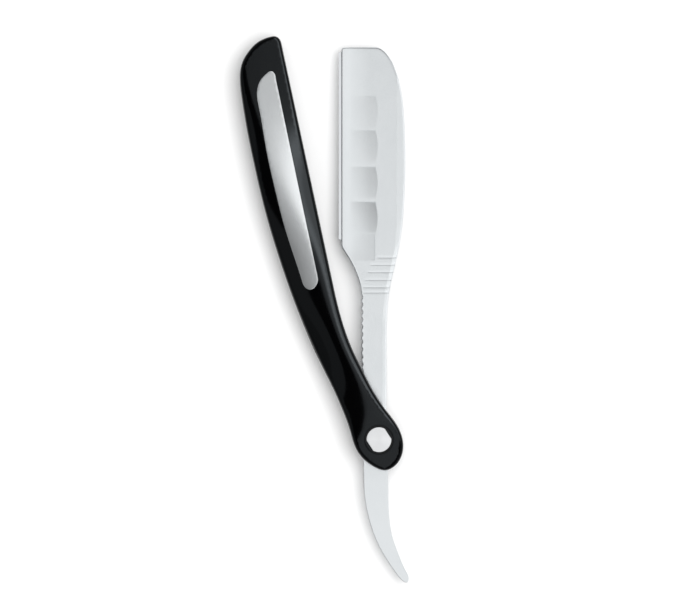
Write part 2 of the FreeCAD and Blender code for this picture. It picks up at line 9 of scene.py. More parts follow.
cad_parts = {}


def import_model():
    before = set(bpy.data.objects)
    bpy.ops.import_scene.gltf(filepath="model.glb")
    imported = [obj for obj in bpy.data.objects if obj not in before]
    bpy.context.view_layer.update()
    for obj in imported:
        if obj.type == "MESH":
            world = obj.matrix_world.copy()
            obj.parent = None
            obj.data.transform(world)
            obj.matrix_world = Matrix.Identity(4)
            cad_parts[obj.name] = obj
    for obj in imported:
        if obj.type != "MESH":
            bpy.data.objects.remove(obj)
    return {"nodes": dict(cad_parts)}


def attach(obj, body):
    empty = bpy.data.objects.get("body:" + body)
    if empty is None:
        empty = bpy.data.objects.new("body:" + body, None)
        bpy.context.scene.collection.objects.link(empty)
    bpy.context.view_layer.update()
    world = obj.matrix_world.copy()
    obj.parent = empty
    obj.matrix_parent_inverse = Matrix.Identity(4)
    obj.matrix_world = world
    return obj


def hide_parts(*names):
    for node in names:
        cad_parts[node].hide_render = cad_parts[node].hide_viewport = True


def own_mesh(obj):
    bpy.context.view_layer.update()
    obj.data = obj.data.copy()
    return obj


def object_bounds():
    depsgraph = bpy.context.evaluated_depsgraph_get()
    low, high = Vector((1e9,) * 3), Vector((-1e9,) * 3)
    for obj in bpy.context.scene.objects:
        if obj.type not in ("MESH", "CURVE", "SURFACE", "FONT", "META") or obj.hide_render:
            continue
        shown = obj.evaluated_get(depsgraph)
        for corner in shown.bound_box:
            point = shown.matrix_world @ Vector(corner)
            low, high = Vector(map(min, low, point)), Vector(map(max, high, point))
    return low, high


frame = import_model()
cad_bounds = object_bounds()

MM = 0.001
FLOOR_GAP = 0.0001

# Levels and outline of the handle in millimetres, as in the CAD part
HANDLE_T = 10.0
SLOT_HIGH = 7.5
BOSS_LOW = 6.9
RIM_R = 0.9
NECK_STATIONS = [(2.8, -8.7, 6.2), (8.8, -10.9, 2.1), (14.8, -13.5, -1.9), (20.8, -16.5, -5.0),
                 (26.8, -19.4, -7.9), (32.8, -22.0, -10.2), (44.8, -26.65, -13.4)]
INNER_SLOPE = -0.2141
OUTER_STATIONS = [(56.8, -30.7), (68.8, -34.2), (80.8, -37.05), (92.8, -39.55), (102.0, -41.05)]
TIP = [(-41.65, 108.0), (-41.1, 112.5), (-39.5, 115.6), (-36.0, 119.2), (-32.6, 120.6), (-30.8, 120.7),
       (-29.6, 119.7)]
TIP_CORNER_Y = 117.5
CAP = [(7.3, -1.9), (5.1, -7.6), (1.9, -9.2), (-1.2, -8.3), (-4.3, -6.15), (-6.75, -3.0)]
CROWN_LIFT = 0.05
INLAY_T = 0.55
INLAY_GAP = 0.10
INLAY_EDGE_R = 0.12
SEAT_R = 3.80
SEAT_FLAT = 3.32
SEAT_LOW = 8.9
SEAT_LEDGE = 9.6
SEAT_MOUTH_R = 4.45
SEAT_SLOPE = 0.68
SEAT_ANGLE = math.atan2(0.543, 0.839)
BARREL_R = 2.25
BOSS_R = 6.0
STOP_AT, STOP_R, STOP_TOP = (-22.2, 49.2), 1.6, 8.5
END_AT, INSERT_R, INSERT_TOP = (-34.5, 116.3), 1.7, 9.1
SCREW_HEAD_R, SCREW_HEAD_LEVEL = 3.4, 8.6
END_HEAD_R, END_HEAD_LEVEL, END_SHANK_R = 2.1, 8.8, 1.05
PIVOT_HEAD = (3.75, 3.27, 10.12, 8.9)
PIVOT_DOME, PIVOT_EDGE_R = 0.004, 0.15
PIVOT_BARREL_R, PIVOT_BARREL_LOW, PIVOT_BORE_R, PIVOT_BORE_TOP = 2.2, 1.65, 1.25, 8.0
LATTICE = 0.55
LOOP_ROOM, CREASE_ROOM = 0.6 * LATTICE, 0.2
STEP = 0.40

# Levels and sizes of the blade holder's front jaw, with fainter thumb grooves and a gentler slope towards the
# blade than the CAD part has; the spine bevel starts at these (y, x)
BEVEL = np.array([(3.0, 1.1), (36.0, 1.1), (45.0, 2.0), (51.0, 3.4), (58.0, 4.9), (66.0, 5.4), (118.0, 5.4)])
BEVEL_SLOPE = 0.28
EASE, EASE_X, EASE_Y = 0.010, -3.0, (50.0, 60.0)
EDGE_SLOPE, EDGE_SLOPE_X = 0.12, -8.6
HOLDER_HIGH = 6.5
JAW_LOW = 5.15
LEVER_LOW = 5.5
HINGE_LOW = 6.0
LUG_LOW = 4.2
PIN_Y = 48.0
LUG_X = (-3.3, 1.4)
LUG_HALF = 1.6
JAW_STEP, HINGE_ROOM = 1.6, 2.3
PAST_SPINE = 9.0
JAW_EDGE_R = 0.42
SEAM_R = 7.5
HEAD_LEFT, HEAD_TOP, HEAD_CORNER_R, HEAD_BASE_Y = -11.3, 117.6, 0.9, 58.5
SHANK_LEFT, SHANK_RIGHT = -5.25, 2.3
POCKETS = [(103.0, 0.30), (92.7, 0.50), (81.8, 0.65), (71.3, 0.95)]
POCKET_LEFT, POCKET_RIGHT, POCKET_BULGE, POCKET_LENGTH = -8.7, -1.0, 0.64, 9.5
LAST_POCKET = (-7.6, -1.14, 53.7, 61.6)
LAST_POCKET_DEPTH = 0.50
GROOVES = [(54.5, -0.4), (52.3, -2.5), (50.1, -3.3), (47.8, -4.1), (45.6, -4.7), (44.0, -4.7)]
GROOVE_HALF, GROOVE_DEPTH = 0.22, 0.045
SERRATION_TOP_Y, SERRATION_PITCH, SERRATION_COUNT = 43.8, 2.24, 14
SERRATION_R, SERRATION_DEPTH = 0.75, 0.33
SPRING_X, SPRING_Y, SPRING_T, SPRING_FLOOR = (-3.6, 0.7), (14.0, 37.0), 0.25, 4.5
SPRING_BOW = [(14.0, 0.62), (22.0, 0.42), (30.5, 0.0)]
SPRING_EDGE_R = 0.05
RIVET_Y, RIVET_R = 33.5, 0.7


# ---------------------------------------------------------------- handle meshes

def curve_through(points, start, end, step=STEP):
    """Points along the smooth curve through the given ones, with unit end tangents."""
    p = np.array(points, float)
    h = np.linalg.norm(np.diff(p, axis=0), axis=1)
    n = len(p)
    matrix, target = np.eye(n), np.zeros_like(p)
    for i in range(1, n - 1):
        matrix[i, i - 1:i + 2] = h[i], 2 * (h[i - 1] + h[i]), h[i - 1]
        target[i] = 3 * (h[i] * (p[i] - p[i - 1]) / h[i - 1] + h[i - 1] * (p[i + 1] - p[i]) / h[i])
    target[0] = np.array(start) / np.linalg.norm(start)
    target[-1] = np.array(end) / np.linalg.norm(end)
    slopes = np.linalg.solve(matrix, target)
    out = []
    for i in range(n - 1):
        t = np.linspace(0, 1, max(2, math.ceil(h[i] / step)), endpoint=False)[:, None]
        out.append((2 * t ** 3 - 3 * t ** 2 + 1) * p[i] + (t ** 3 - 2 * t ** 2 + t) * h[i] * slopes[i]
                   + (3 * t ** 2 - 2 * t ** 3) * p[i + 1] + (t ** 3 - t ** 2) * h[i] * slopes[i + 1])
    return np.vstack(out + [p[-1:]])


def straight(a, b, step=STEP):
    """Points from a to b, without b."""
    a, b = np.array(a, float), np.array(b, float)
    t = np.linspace(0, 1, math.ceil(np.linalg.norm(b - a) / step), endpoint=False)[:, None]
    return a + t * (b - a)


def circle(r, at=(0.0, 0.0), count=96):
    turn = np.linspace(0, 2 * math.pi, count, endpoint=False)
    return np.column_stack((at[0] + r * np.cos(turn), at[1] + r * np.sin(turn)))


def double_d(r, flat, count=120):
    """Circle with two parallel flats, at the angle of the pivot head."""
    turn = np.linspace(0, 2 * math.pi, count, endpoint=False)
    reach = np.minimum(r, flat / np.maximum(1e-6, np.abs(np.cos(turn))))
    return np.column_stack((reach * np.cos(turn + SEAT_ANGLE), reach * np.sin(turn + SEAT_ANGLE)))


def inner_x(y):
    y0, _, x0 = NECK_STATIONS[-1]
    return x0 + INNER_SLOPE * (y - y0)


def handle_outline():
    down = (-INNER_SLOPE, -1.0)
    corner = (inner_x(TIP_CORNER_Y), TIP_CORNER_Y)
    neck_in = [(x, y) for y, _, x in reversed(NECK_STATIONS)]
    outer = [(x, y) for y, x, _ in NECK_STATIONS] + [(x, y) for y, x in OUTER_STATIONS]
    bowed = curve_through(neck_in + CAP + outer + TIP + [corner], down, down)
    return np.vstack((bowed[:-1], straight(corner, neck_in[0])))


def inlay_outline(grow=0.0):
    slope = (0.2116, -1.0)
    top_right = (-30.75 + grow, 107.6)
    low_right = (-18.3 + grow, 48.75)
    low_end = [(-18.75, 46.1 - grow), (-20.6, 44.85 - grow), (-22.3 - grow, 45.8 - grow)]
    bowed = [(-23.1 - grow, 47.6), (-28.0 - grow, 62.8), (-31.1 - grow, 74.8), (-33.75 - grow, 86.8),
             (-35.85 - grow, 98.8), (-36.5 - grow, 104.3)]
    top_end = [(-35.5 - grow, 107.5), (-33.7, 109.5 + grow), (-32.2, 110.3 + grow), (-31.1 + grow, 109.4)]
    around = curve_through([low_right] + low_end + bowed + top_end + [top_right], slope, slope)
    return np.vstack((around[:-1], straight(top_right, low_right)))


def smooth(value, low, high):
    t = np.clip((value - low) / (high - low), 0.0, 1.0)
    return t * t * (3 - 2 * t)


EDGE_ROWS = ([(y, a, b) for y, a, b in NECK_STATIONS] + [(y, a, inner_x(y)) for y, a in OUTER_STATIONS]
             + [(120.0, -42.3, inner_x(120.0))])
EDGES = curve_through(EDGE_ROWS, (6.0, -2.2, -4.1), (18.0, -1.2, -3.9), 0.5)

# Crown stations: height along the handle, where the roll-off starts across it, outer and inner roll-off
CROWN = curve_through([(-20.0, -0.80, 0.60, 0.0), (-5.0, -0.74, 0.60, 0.0), (0.0, -0.56, 0.60, 0.0),
                       (5.0, -0.18, 0.55, 0.02),
                       (10.0, 0.34, 0.30, 0.12), (15.0, 0.56, 0.35, 0.40), (20.0, 0.60, 0.52, 0.75),
                       (25.0, 0.60, 0.68, 0.95), (32.0, 0.60, 0.68, 1.0), (41.0, 0.60, 0.48, 1.0),
                       (57.0, 0.46, 0.54, 0.90), (80.0, -0.24, 0.65, 0.38), (98.0, -0.52, 1.70, 0.04),
                       (108.0, -0.72, 1.8, 0.0), (126.0, -0.78, 1.4, 0.0)], (1, 0, 0, 0), (1, 0, 0, 0), 0.5)


def crown(x, y):
    """Height of the handle's outer surface, which rolls off on the outer side and less on the inner side."""
    here = np.clip(y, 2.8, 120.0)
    left, right = np.interp(here, EDGES[:, 0], EDGES[:, 1]), np.interp(here, EDGES[:, 0], EDGES[:, 2])
    u = (2 * x - left - right) / (right - left)
    start, outer, inner = (np.interp(y, CROWN[:, 0], CROWN[:, k]) for k in (1, 2, 3))
    drop = outer * np.maximum(0.0, start - u) ** 2 + inner * np.maximum(0.0, u - start) ** 2
    return HANDLE_T + CROWN_LIFT - drop


def inside(points, polygon):
    """Which points lie inside the closed polygon."""
    found = np.zeros(len(points), bool)
    x, y = points[:, 0], points[:, 1]
    for (x0, y0), (x1, y1) in zip(polygon, np.roll(polygon, -1, axis=0)):
        if y0 != y1:
            found ^= ((y0 > y) != (y1 > y)) & (x < x0 + (y - y0) * (x1 - x0) / (y1 - y0))
    return found


def distance(points, polygon):
    """Distance from each point to the closed polygon."""
    best = np.full(len(points), 1e9)
    for a, b in zip(polygon, np.roll(polygon, -1, axis=0)):
        run = b - a
        t = np.clip((points - a) @ run / (run @ run), 0.0, 1.0)
        best = np.minimum(best, np.linalg.norm(points - a - t[:, None] * run, axis=1))
    return best


def inset(polygon, depth):
    """The closed polygon moved inwards."""
    tangent = np.roll(polygon, -1, axis=0) - np.roll(polygon, 1, axis=0)
    tangent /= np.linalg.norm(tangent, axis=1)[:, None]
    x, y = polygon[:, 0], polygon[:, 1]
    side = 1.0 if np.sum(x * np.roll(y, -1) - y * np.roll(x, -1)) > 0 else -1.0
    return polygon + side * depth * np.column_stack((-tangent[:, 1], tangent[:, 0]))


def relief(name, outline, top, bottom, rim_r, tops=(), bottoms=(), holes=(), creases=(), mirrored=False,
           sharp=32):
    """Mesh between two surfaces over the outline, with a rounded rim of radius rim_r on top.

    tops and bottoms are (polygon, level) steps; holes are polygons that go right through; creases are open
    lines along which the top bends; bends above the sharp angle, in degrees, stay hard.
    """
    rings = [inset(outline, rim_r * (1 - math.cos(math.radians(a)))) for a in range(10, 91, 10)]
    stepped = [polygon for polygon, _ in list(tops) + list(bottoms)]
    loops = [outline] + rings + stepped + list(holes)
    low, high = outline.min(0), outline.max(0)
    lattice = np.array([(x, y) for y in np.arange(low[1], high[1], LATTICE)
                        for x in np.arange(low[0], high[0], LATTICE)])
    lattice = lattice[inside(lattice, rings[-1])]
    for loop in loops[len(rings):]:
        lattice = lattice[distance(lattice, loop) > LOOP_ROOM]
    points, links = [], []
    for loop in loops:
        first = len(points)
        points.extend(loop)
        links.extend((first + i, first + (i + 1) % len(loop)) for i in range(len(loop)))
    for crease in creases:
        first = len(points)
        points.extend(crease)
        links.extend((first + i, first + i + 1) for i in range(len(crease) - 1))
        crease_x = np.interp(lattice[:, 1], crease[:, 1], crease[:, 0])
        lattice = lattice[np.abs(lattice[:, 0] - crease_x) > CREASE_ROOM]
    points.extend(lattice)
    flat, _, faces, _, _, _ = delaunay_2d_cdt([Vector(p) for p in points], links, [], 0, 1e-5)
    flat = np.array([tuple(p) for p in flat])
    middles = np.array([flat[list(f)].mean(0) for f in faces])
    solid = inside(middles, outline)
    for polygon in holes:
        solid &= ~inside(middles, polygon)
    top_id, bottom_id = np.zeros(len(faces), int), np.zeros(len(faces), int)
    for index, (polygon, _) in enumerate(tops):
        top_id[inside(middles, polygon)] = index + 1
    for index, (polygon, _) in enumerate(bottoms):
        bottom_id[inside(middles, polygon)] = index + 1
    x, y = flat[:, 0], flat[:, 1]
    depth = np.minimum(distance(flat, outline), rim_r)
    rounding = rim_r - np.sqrt(rim_r ** 2 - (rim_r - depth) ** 2)
    top_z = [top(x, y) - rounding] + [level(x, y) for _, level in tops]
    bottom_z = [bottom(x, y)] + [level(x, y) for _, level in bottoms]
    mesh = bmesh.new()
    made = {}

    def vertex(index, levels, region):
        z = levels[region][index]
        key = (index, round(z, 5))
        if key not in made:
            height = HANDLE_T - z if mirrored else z
            made[key] = mesh.verts.new((x[index] * MM, y[index] * MM, height * MM))
        return made[key]

    def face(*corners):
        distinct = list(dict.fromkeys(corners))
        if len(distinct) > 2 and not mesh.faces.get(distinct):
            mesh.faces.new(distinct)

    sides = {}
    for number, corners in enumerate(faces):
        if solid[number]:
            face(*[vertex(i, top_z, top_id[number]) for i in corners])
            face(*[vertex(i, bottom_z, bottom_id[number]) for i in reversed(corners)])
            for a, b in zip(corners, corners[1:] + corners[:1]):
                sides.setdefault((min(a, b), max(a, b)), []).append(number)
    for (a, b), owners in sides.items():
        if len(owners) == 1:
            t, d = top_id[owners[0]], bottom_id[owners[0]]
            face(vertex(a, top_z, t), vertex(b, top_z, t), vertex(b, bottom_z, d), vertex(a, bottom_z, d))
            continue
        for levels, ids in ((top_z, top_id), (bottom_z, bottom_id)):
            one, two = ids[owners[0]], ids[owners[1]]
            if one != two:
                face(vertex(a, levels, one), vertex(b, levels, one),
                     vertex(b, levels, two), vertex(a, levels, two))
    bmesh.ops.recalc_face_normals(mesh, faces=mesh.faces)
    data = bpy.data.meshes.new(name)
    mesh.to_mesh(data)
    mesh.free()
    data.shade_smooth()
    data.set_sharp_from_angle(angle=math.radians(sharp))
    piece = bpy.data.objects.new(name, data)
    bpy.context.scene.collection.objects.link(piece)
    return piece


def level(z):
    return lambda x, y: np.full(len(x), z)


def seat_mouth():
    """Outer edge of the conical mouth of the pivot seat, where it meets the crown."""
    ring = circle(1.0)
    return ring * (SEAT_R + (crown(ring[:, 0] * SEAT_MOUTH_R, ring[:, 1] * SEAT_MOUTH_R) - SEAT_LEDGE)
                   / SEAT_SLOPE)[:, None]


def make_front_scale():
    tops = [
        (seat_mouth(), lambda x, y: SEAT_LEDGE + SEAT_SLOPE * (np.hypot(x, y) - SEAT_R)),
        (circle(SEAT_R, count=120), level(SEAT_LEDGE)),
        (double_d(SEAT_R - 0.01, SEAT_FLAT), level(SEAT_LOW)),
        (inlay_outline(INLAY_GAP), lambda x, y: crown(x, y) - INLAY_T),
    ]
    bottoms = [(circle(BOSS_R), level(BOSS_LOW)), (circle(STOP_R, STOP_AT, 48), level(STOP_TOP)),
               (circle(INSERT_R, END_AT, 48), level(INSERT_TOP))]
    piece = relief("scale_front_shell", handle_outline(), crown, level(SLOT_HIGH), RIM_R, tops, bottoms,
                   [circle(BARREL_R, count=72)])
    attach(piece, "handle")
    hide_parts("front_scale")
    return piece


def make_back_scale():
    tops = [(circle(SCREW_HEAD_R), level(SCREW_HEAD_LEVEL)),
            (circle(END_HEAD_R, END_AT, 64), level(END_HEAD_LEVEL))]
    bottoms = [(circle(BOSS_R), level(BOSS_LOW)), (circle(STOP_R, STOP_AT, 48), level(STOP_TOP))]
    holes = [circle(BARREL_R, count=72), circle(END_SHANK_R, END_AT, 40)]
    piece = relief("scale_back_shell", handle_outline(), lambda x, y: crown(x, y) - CROWN_LIFT,
                   level(SLOT_HIGH), RIM_R, tops, bottoms, holes, mirrored=True)
    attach(piece, "handle")
    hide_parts("back_scale")
    return piece


def make_inlay():
    piece = relief("inlay_crowned", inlay_outline(), crown, lambda x, y: crown(x, y) - INLAY_T, INLAY_EDGE_R)
    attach(piece, "handle")
    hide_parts("inlay_plate")
    return piece


def make_pivot_head():
    """Double-D head with a slightly domed turned face, and its barrel."""
    r, flat, high, low = PIVOT_HEAD
    bottoms = [(circle(PIVOT_BARREL_R, count=72), level(PIVOT_BARREL_LOW)),
               (circle(PIVOT_BORE_R, count=48), level(PIVOT_BORE_TOP))]
    piece = relief("pivot_head_turned", double_d(r, flat), lambda x, y: high - PIVOT_DOME * (x * x + y * y),
                   level(low), PIVOT_EDGE_R, bottoms=bottoms)
    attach(piece, "handle")
    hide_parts("pivot_post")
    return piece


def shank_edge():
    """Serrated left edge of the shank, going up from the seam to the neck."""
    path = [(SHANK_LEFT, math.sqrt(SEAM_R ** 2 - SHANK_LEFT ** 2))]
    middle_x = SHANK_LEFT - SERRATION_R + SERRATION_DEPTH
    swing = math.acos((SHANK_LEFT - middle_x) / SERRATION_R)
    for index in reversed(range(SERRATION_COUNT)):
        y = SERRATION_TOP_Y - (0.5 + index) * SERRATION_PITCH
        path.extend(straight(path[-1], (SHANK_LEFT, y - SERRATION_R * math.sin(swing)))[1:])
        for turn in np.linspace(-swing, swing, 9):
            path.append((middle_x + SERRATION_R * math.cos(turn), y + SERRATION_R * math.sin(turn)))
    path.extend(straight(path[-1], (SHANK_LEFT, 43.0))[1:])
    return np.array(path)


def jaw_outline():
    corner = [(HEAD_LEFT + HEAD_CORNER_R * (1 - math.cos(a)), HEAD_TOP - HEAD_CORNER_R * (1 - math.sin(a)))
              for a in np.linspace(0, math.pi / 2, 8)]
    neck = curve_through([(SHANK_LEFT, 43.0), (-6.1, 47.8), (-8.75, 53.8), (-10.6, 56.7),
                          (HEAD_LEFT, HEAD_BASE_Y)], (0, 1), (0, 1))
    spine = curve_through([(-1.0, HEAD_TOP), (2.33, 115.65), (5.0, 110.8), (6.65, 104.8), (7.65, 94.8),
                           (7.93, 84.0), (7.62, 71.8), (6.43, 59.8), (4.48, 50.8), (3.2, 44.8), (2.55, 38.8),
                           (SHANK_RIGHT, 30.0)], (1, 0), (0, -1))
    start, end = math.asin(SHANK_RIGHT / SEAM_R), math.asin(SHANK_LEFT / SEAM_R)
    seam = [(SEAM_R * math.sin(a), SEAM_R * math.cos(a)) for a in np.linspace(start, end, 22)]
    return np.vstack((shank_edge(), neck[:-1], straight((HEAD_LEFT, HEAD_BASE_Y), corner[0]), corner[:-1],
                      straight(corner[-1], (-1.0, HEAD_TOP)), spine[:-1],
                      straight((SHANK_RIGHT, 30.0), seam[0]), seam[:-1]))


def jaw_face(x, y):
    """Front face of the jaw: flat in the middle, easing down to the blade side, bevelled along the spine."""
    ease = EASE * np.maximum(0.0, EASE_X - x) ** 2
    edge = EDGE_SLOPE * np.maximum(0.0, EDGE_SLOPE_X - x)
    spine = BEVEL_SLOPE * np.maximum(0.0, x - np.interp(y, BEVEL[:, 0], BEVEL[:, 1]))
    return HOLDER_HIGH - smooth(y, *EASE_Y) * (ease + edge) - spine


def pocket(top_y, depth):
    """Outline and twisted floor of one scooped pocket, level with the face at its left and lower sides."""
    low_y, reach = top_y - POCKET_LENGTH, POCKET_RIGHT + POCKET_BULGE
    wall = [(POCKET_RIGHT + POCKET_BULGE * math.sin(math.pi * t), low_y + POCKET_LENGTH * t)
            for t in np.linspace(0, 1, 21)]
    deep = depth * (reach - POCKET_LEFT) / (POCKET_RIGHT - POCKET_LEFT)

    def floor_level(x, y):
        across = np.clip((x - POCKET_LEFT) / (reach - POCKET_LEFT), 0, 1)
        return jaw_face(x, y) - deep * across * np.clip((y - low_y) / POCKET_LENGTH, 0, 1)

    outline = np.vstack((wall[:-1], straight(wall[-1], (POCKET_LEFT, top_y)),
                         straight((POCKET_LEFT, top_y), (POCKET_LEFT, low_y)),
                         straight((POCKET_LEFT, low_y), wall[0])))
    return outline, floor_level


def rectangle(x, y):
    corners = [(x[0], y[0]), (x[1], y[0]), (x[1], y[1]), (x[0], y[1])]
    return np.vstack([straight(a, b) for a, b in zip(corners, corners[1:] + corners[:1])])


def groove_floor(y_middle):
    """Floor of a thumb groove, deepest along its middle."""
    return lambda x, y: jaw_face(x, y) - GROOVE_DEPTH * (1 - np.abs(y - y_middle) / GROOVE_HALF)


def make_jaw():
    x0, x1, y0, y1 = LAST_POCKET

    def last_floor(x):
        across = np.clip((x - x0) / (x1 - x0), 0, 1)
        return across * (1 + across) / 2

    tops = [pocket(top_y, depth) for top_y, depth in POCKETS]
    tops.append((rectangle((x0, x1), (y0, y1)),
                 lambda x, y: jaw_face(x, y) - LAST_POCKET_DEPTH * last_floor(x)))
    for y_middle, left in GROOVES:
        for side in (-1, 1):
            span = sorted((y_middle, y_middle + side * GROOVE_HALF))
            tops.append((rectangle((left, PAST_SPINE), span), groove_floor(y_middle)))
    lug_low, lug_high = PIN_Y - LUG_HALF, PIN_Y + LUG_HALF
    bottoms = [
        (rectangle((-9.0, PAST_SPINE), (4.0, lug_low - JAW_STEP)), level(LEVER_LOW)),
        (rectangle((-13.0, PAST_SPINE), (lug_low - HINGE_ROOM, lug_high + HINGE_ROOM)), level(HINGE_LOW)),
        (rectangle(LUG_X, (lug_low, lug_high)), level(LUG_LOW)),
    ]
    rows = np.arange(9.0, 108.0, 0.8)
    creases = [np.column_stack((np.interp(rows, BEVEL[:, 0], BEVEL[:, 1]), rows))]
    piece = relief("jaw_front_shell", jaw_outline(), jaw_face, level(JAW_LOW), JAW_EDGE_R, tops, bottoms,
                   creases=creases, sharp=13)
    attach(piece, "jaw")
    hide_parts("clamp_jaw")
    return piece


def make_spring():
    """Leaf spring: flat under its rivet, bowed up towards the pivot, with its edges broken."""
    (x0, x1), (y0, y1) = SPRING_X, SPRING_Y
    bow = curve_through(SPRING_BOW, (1, 0), (1, 0), 0.25)

    def rise(y):
        return SPRING_FLOOR + np.where(y < SPRING_BOW[-1][0], np.interp(y, bow[:, 0], bow[:, 1]), 0.0)

    piece = relief("spring_bowed", rectangle((x0, x1), (y0, y1)), lambda x, y: rise(y) + SPRING_T,
                   lambda x, y: rise(y), SPRING_EDGE_R, holes=[circle(RIVET_R, ((x0 + x1) / 2, RIVET_Y), 48)])
    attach(piece, "holder")
    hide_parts("leaf_spring")
    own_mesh(piece)
    return piece


# ---------------------------------------------------------------- node helpers

def new_material(name):
    """Empty node material: its tree, its Principled shader and its output."""
    material = bpy.data.materials.new(name)
    material.use_nodes = True
    tree = material.node_tree
    tree.nodes.clear()
    output = tree.nodes.new("ShaderNodeOutputMaterial")
    shader = tree.nodes.new("ShaderNodeBsdfPrincipled")
    tree.links.new(shader.outputs["BSDF"], output.inputs["Surface"])
    return material, tree, shader


def object_coordinates(tree, scale=(1.0, 1.0, 1.0), turn=0.0):
    """Object coordinates in millimetres, scaled and turned about Z, so that a pattern has its real size."""
    coordinates = tree.nodes.new("ShaderNodeTexCoord")
    mapping = tree.nodes.new("ShaderNodeMapping")
    mapping.inputs["Scale"].default_value = [s / MM for s in scale]
    mapping.inputs["Rotation"].default_value = (0.0, 0.0, turn)
    tree.links.new(coordinates.outputs["Object"], mapping.inputs["Vector"])
    return mapping.outputs["Vector"]


def noise(tree, vector, scale, detail=3.0, roughness=0.55):
    node = tree.nodes.new("ShaderNodeTexNoise")
    node.inputs["Scale"].default_value = scale
    node.inputs["Detail"].default_value = detail
    node.inputs["Roughness"].default_value = roughness
    tree.links.new(vector, node.inputs["Vector"])
    return node.outputs["Fac"]


def ramp(tree, value, low, high, from_low=0.35, from_high=0.65):
    """A value spread from low to high."""
    node = tree.nodes.new("ShaderNodeMapRange")
    node.inputs["From Min"].default_value = from_low
    node.inputs["From Max"].default_value = from_high
    node.inputs["To Min"].default_value = low
    node.inputs["To Max"].default_value = high
    tree.links.new(value, node.inputs["Value"])
    return node.outputs["Result"]


def tint(tree, value, low, high):
    """A colour between two colours."""
    node = tree.nodes.new("ShaderNodeMix")
    node.data_type = "RGBA"
    node.inputs["A"].default_value = (*low, 1.0)
    node.inputs["B"].default_value = (*high, 1.0)
    tree.links.new(value, node.inputs["Factor"])
    return node.outputs["Result"]


def bump(tree, height, shader, strength, distance_mm):
    node = tree.nodes.new("ShaderNodeBump")
    node.inputs["Strength"].default_value = strength
    node.inputs["Distance"].default_value = distance_mm * MM
    tree.links.new(height, node.inputs["Height"])
    tree.links.new(node.outputs["Normal"], shader.inputs["Normal"])


# ---------------------------------------------------------------- materials

def gloss_plastic():
    """Black moulded handle: high gloss with a faint flow waviness and fine handling marks."""
    material, tree, shader = new_material("gloss_black_handle")
    vector = object_coordinates(tree)
    flow = noise(tree, vector, 0.09, 2.0)
    marks = noise(tree, object_coordinates(tree, (0.25, 3.0, 1.0), 0.3), 1.4, 4.0)
    shader.inputs["Base Color"].default_value = (0.0006, 0.0006, 0.0007, 1.0)
    tree.links.new(ramp(tree, marks, 0.06, 0.10), shader.inputs["Roughness"])
    shader.inputs["IOR"].default_value = 1.5
    bump(tree, flow, shader, 0.05, 0.2)
    return material


def satin_steel(name, edge_mm=0.0):
    """Bead-blasted stainless steel with a fine matt grain; edges can be softened by edge_mm."""
    material, tree, shader = new_material(name)
    vector = object_coordinates(tree)
    grain = noise(tree, vector, 9.0, 2.0, 0.7)
    cloud = noise(tree, vector, 0.12, 3.0)
    tree.links.new(tint(tree, cloud, (0.66, 0.69, 0.705), (0.72, 0.745, 0.76)), shader.inputs["Base Color"])
    shader.inputs["Metallic"].default_value = 1.0
    tree.links.new(ramp(tree, grain, 0.27, 0.35), shader.inputs["Roughness"])
    bump(tree, grain, shader, 0.25, 0.02)
    if edge_mm:
        edge = tree.nodes.new("ShaderNodeBevel")
        edge.samples = 8
        edge.inputs["Radius"].default_value = edge_mm * MM
        tree.links.new(edge.outputs["Normal"], shader.inputs["Normal"].links[0].from_node.inputs["Normal"])
    return material


def brushed_aluminium():
    """Inlay plate, brushed along its length."""
    material, tree, shader = new_material("brushed_inlay")
    along = object_coordinates(tree, (9.0, 0.25, 1.0), -0.21)
    lines = noise(tree, along, 1.6, 5.0, 0.7)
    tree.links.new(tint(tree, lines, (0.62, 0.63, 0.635), (0.78, 0.785, 0.79)), shader.inputs["Base Color"])
    shader.inputs["Metallic"].default_value = 1.0
    tree.links.new(ramp(tree, lines, 0.15, 0.24), shader.inputs["Roughness"])
    bump(tree, lines, shader, 0.15, 0.01)
    return material


def turned_steel():
    """Pivot head, faced on a lathe: fine rings about the pivot axis."""
    material, tree, shader = new_material("turned_steel_pivot")
    rings = tree.nodes.new("ShaderNodeTexWave")
    rings.wave_type = "RINGS"
    rings.rings_direction = "Z"
    rings.inputs["Scale"].default_value = 2.2
    rings.inputs["Distortion"].default_value = 0.15
    tree.links.new(object_coordinates(tree), rings.inputs["Vector"])
    tree.links.new(tint(tree, rings.outputs["Fac"], (0.66, 0.67, 0.68), (0.80, 0.81, 0.82)),
                   shader.inputs["Base Color"])
    shader.inputs["Metallic"].default_value = 1.0
    tree.links.new(ramp(tree, rings.outputs["Fac"], 0.20, 0.32, 0.0, 1.0), shader.inputs["Roughness"])
    shader.inputs["Anisotropic"].default_value = 0.85
    tangent = tree.nodes.new("ShaderNodeTangent")
    tangent.direction_type = "RADIAL"
    tangent.axis = "Z"
    tree.links.new(tangent.outputs["Tangent"], shader.inputs["Tangent"])
    bump(tree, rings.outputs["Fac"], shader, 0.1, 0.005)
    return material


def plain_metal(name, low, high, rough):
    """Small metal pieces: a mottled colour and a fine machined grain."""
    material, tree, shader = new_material(name)
    grain = noise(tree, object_coordinates(tree, (1.0, 1.0, 3.0)), 5.0, 3.0, 0.6)
    tree.links.new(tint(tree, grain, low, high), shader.inputs["Base Color"])
    shader.inputs["Metallic"].default_value = 1.0
    tree.links.new(ramp(tree, grain, rough, rough + 0.12), shader.inputs["Roughness"])
    bump(tree, grain, shader, 0.12, 0.01)
    return material


